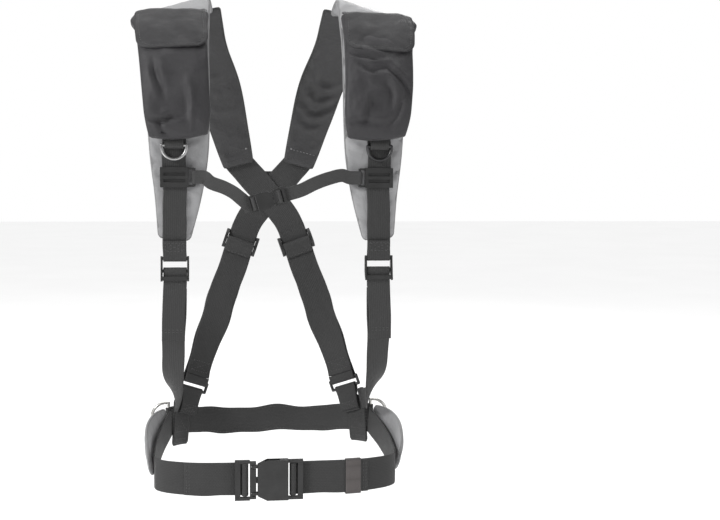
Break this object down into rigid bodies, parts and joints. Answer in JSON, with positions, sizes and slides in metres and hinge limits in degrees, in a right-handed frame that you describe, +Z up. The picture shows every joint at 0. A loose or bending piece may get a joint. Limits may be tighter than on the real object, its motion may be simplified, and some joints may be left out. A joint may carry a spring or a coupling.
{
  "type": "safety harness vest",
  "caption": "Shoulder and waist harness vest with padded straps, two flapped chest pouches, crossed back straps, a sliding sternum strap, a waist belt, rings and adjusters.",
  "frame": {"origin": "midway between the two shoulder pads, level with their crests, where the wearer's shoulders carry the vest", "axes": "+X to the wearer's left, +Y to the wearer's back, +Z up; the waist buckle faces -Y"},
  "size_m": [0.3464, 0.2591, 0.6084],
  "materials": {
    "pad_cloth": "satin grey woven cloth",
    "yoke_cloth": "slightly glossy black coated cloth",
    "pouch_cloth": "matt charcoal woven cloth",
    "hook_and_loop": "matt pile",
    "webbing": "matt black woven webbing",
    "elastic": "matt ribbed elastic",
    "plastic": "fine moulded texture",
    "dark_steel": "grey plated",
    "bright_steel": "bright plated"
  },
  "bodies": {
    "harness": {"shoulder_pad_left": "pad_cloth", "shoulder_pad_right": "pad_cloth", "back_yoke_left": "yoke_cloth", "back_yoke_right": "yoke_cloth", "pouch_left": "pouch_cloth", "pouch_right": "pouch_cloth", "pouch_loop_patch_left": "hook_and_loop", "pouch_loop_patch_right": "hook_and_loop", "front_strap_left": "webbing", "front_strap_right": "webbing", "shoulder_ring_keeper_left": "webbing", "shoulder_ring_keeper_right": "webbing", "lower_strap_left": "webbing", "lower_strap_right": "webbing", "hip_tab_left": "webbing", "hip_tab_right": "webbing", "cross_strap_left": "webbing", "cross_strap_right": "webbing", "cross_patch": "webbing", "cross_return_left": "webbing", "cross_return_right": "webbing", "cross_ring_left": "plastic", "cross_ring_right": "plastic", "ring_tongue_left": "webbing", "ring_tongue_right": "webbing", "back_belt": "webbing", "side_belt_left": "webbing", "side_belt_right": "webbing", "hip_pad_left": "pad_cloth", "hip_pad_right": "pad_cloth", "hip_ring_keeper_left": "webbing", "hip_ring_keeper_right": "webbing", "front_belt_left": "webbing", "front_belt_right": "webbing", "belt_keeper": "elastic", "waist_socket": "plastic"},
    "pouch_flap_left": {"pouch_flap_left": "pouch_cloth", "flap_hook_patch_left": "hook_and_loop"},
    "shoulder_ring_left": {"shoulder_ring_left": "dark_steel"},
    "strap_adjuster_left": {"strap_adjuster_left": "plastic", "adjuster_tail_left": "webbing"},
    "cross_slider_left": {"cross_slider_left": "plastic"},
    "hip_ring_left": {"hip_ring_left": "bright_steel"},
    "pouch_flap_right": {"pouch_flap_right": "pouch_cloth", "flap_hook_patch_right": "hook_and_loop"},
    "shoulder_ring_right": {"shoulder_ring_right": "dark_steel"},
    "strap_adjuster_right": {"strap_adjuster_right": "plastic", "adjuster_tail_right": "webbing"},
    "cross_slider_right": {"cross_slider_right": "plastic"},
    "hip_ring_right": {"hip_ring_right": "bright_steel"},
    "waist_plug": {"waist_plug": "plastic"},
    "waist_prong_upper": {"waist_prong_upper": "plastic"},
    "waist_prong_lower": {"waist_prong_lower": "plastic"},
    "sternum_strap": {"sternum_slider_left": "plastic", "sternum_slider_right": "plastic", "sternum_strap_left": "webbing", "sternum_strap_right": "webbing", "sternum_socket": "plastic"},
    "sternum_plug": {"sternum_plug": "plastic", "sternum_prongs": "plastic"}
  },
  "joints": [
    {"name": "pouch_flap_left_lift", "type": "hinge", "parent": "harness", "child": "pouch_flap_left", "pos_m": [0.11974, -0.02648, -0.01072], "axis": [-0.9841, -0.1593, 0.0782], "range_deg": [0, 135]},
    {"name": "shoulder_ring_left_swing", "type": "hinge", "parent": "harness", "child": "shoulder_ring_left", "pos_m": [0.123, -0.11135, -0.178], "axis": [-1, 0, 0], "range_deg": [0, 100]},
    {"name": "strap_adjuster_left_tilt", "type": "hinge", "parent": "harness", "child": "strap_adjuster_left", "pos_m": [0.123, -0.10925, -0.313], "axis": [-1, 0, 0], "range_deg": [0, 45], "deforming": ["lower_strap_left"]},
    {"name": "hip_ring_left_swing", "type": "hinge", "parent": "harness", "child": "hip_ring_left", "pos_m": [0.13766, 0.06743, -0.543], "axis": [0, 0, 1], "range_deg": [-45, 90]},
    {"name": "pouch_flap_right_lift", "type": "hinge", "parent": "harness", "child": "pouch_flap_right", "pos_m": [-0.11974, -0.02648, -0.01072], "axis": [-0.9841, 0.1593, -0.0782], "range_deg": [0, 135]},
    {"name": "shoulder_ring_right_swing", "type": "hinge", "parent": "harness", "child": "shoulder_ring_right", "pos_m": [-0.123, -0.11135, -0.178], "axis": [-1, 0, 0], "range_deg": [0, 100]},
    {"name": "strap_adjuster_right_tilt", "type": "hinge", "parent": "harness", "child": "strap_adjuster_right", "pos_m": [-0.123, -0.10925, -0.313], "axis": [-1, 0, 0], "range_deg": [0, 45], "deforming": ["lower_strap_right"]},
    {"name": "hip_ring_right_swing", "type": "hinge", "parent": "harness", "child": "hip_ring_right", "pos_m": [-0.13766, 0.06743, -0.543], "axis": [0, 0, -1], "range_deg": [-45, 90]},
    {"name": "cross_slider_left_slide", "type": "slide", "parent": "harness", "child": "cross_slider_left", "axis": [0.3259, -0.1267, -0.9369], "range_m": [0, 0.03], "deforming": ["cross_return_left"]},
    {"name": "cross_slider_right_slide", "type": "slide", "parent": "harness", "child": "cross_slider_right", "axis": [-0.3255, -0.1361, -0.9357], "range_m": [0, 0.03], "deforming": ["cross_return_right"]},
    {"name": "waist_plug_pull", "type": "slide", "parent": "harness", "child": "waist_plug", "axis": [-1, 0, 0], "range_m": [0, 0.034], "deforming": ["waist_prong_upper", "waist_prong_lower", "front_belt_right"]},
    {"name": "waist_prong_upper_squeeze", "type": "hinge", "parent": "waist_plug", "child": "waist_prong_upper", "pos_m": [-0.03075, -0.124, -0.56532], "axis": [0, 1, 0], "range_deg": [0, 9], "stiffness_Nm_per_rad": 1},
    {"name": "waist_prong_lower_squeeze", "type": "hinge", "parent": "waist_plug", "child": "waist_prong_lower", "pos_m": [-0.03075, -0.124, -0.59867], "axis": [0, -1, 0], "range_deg": [0, 9], "stiffness_Nm_per_rad": 1},
    {"name": "sternum_strap_height", "type": "slide", "parent": "harness", "child": "sternum_strap", "axis": [0, 0, 1], "range_m": [-0.03, 0.006]},
    {"name": "sternum_plug_pull", "type": "slide", "parent": "sternum_strap", "child": "sternum_plug", "axis": [0.9613, 0, 0.2756], "range_m": [0, 0.018], "deforming": ["sternum_prongs", "sternum_strap_left"]}
  ],
  "couplings": [
    {"joint": "waist_prong_lower_squeeze", "follows": "waist_prong_upper_squeeze", "ratio": 1}
  ]
}
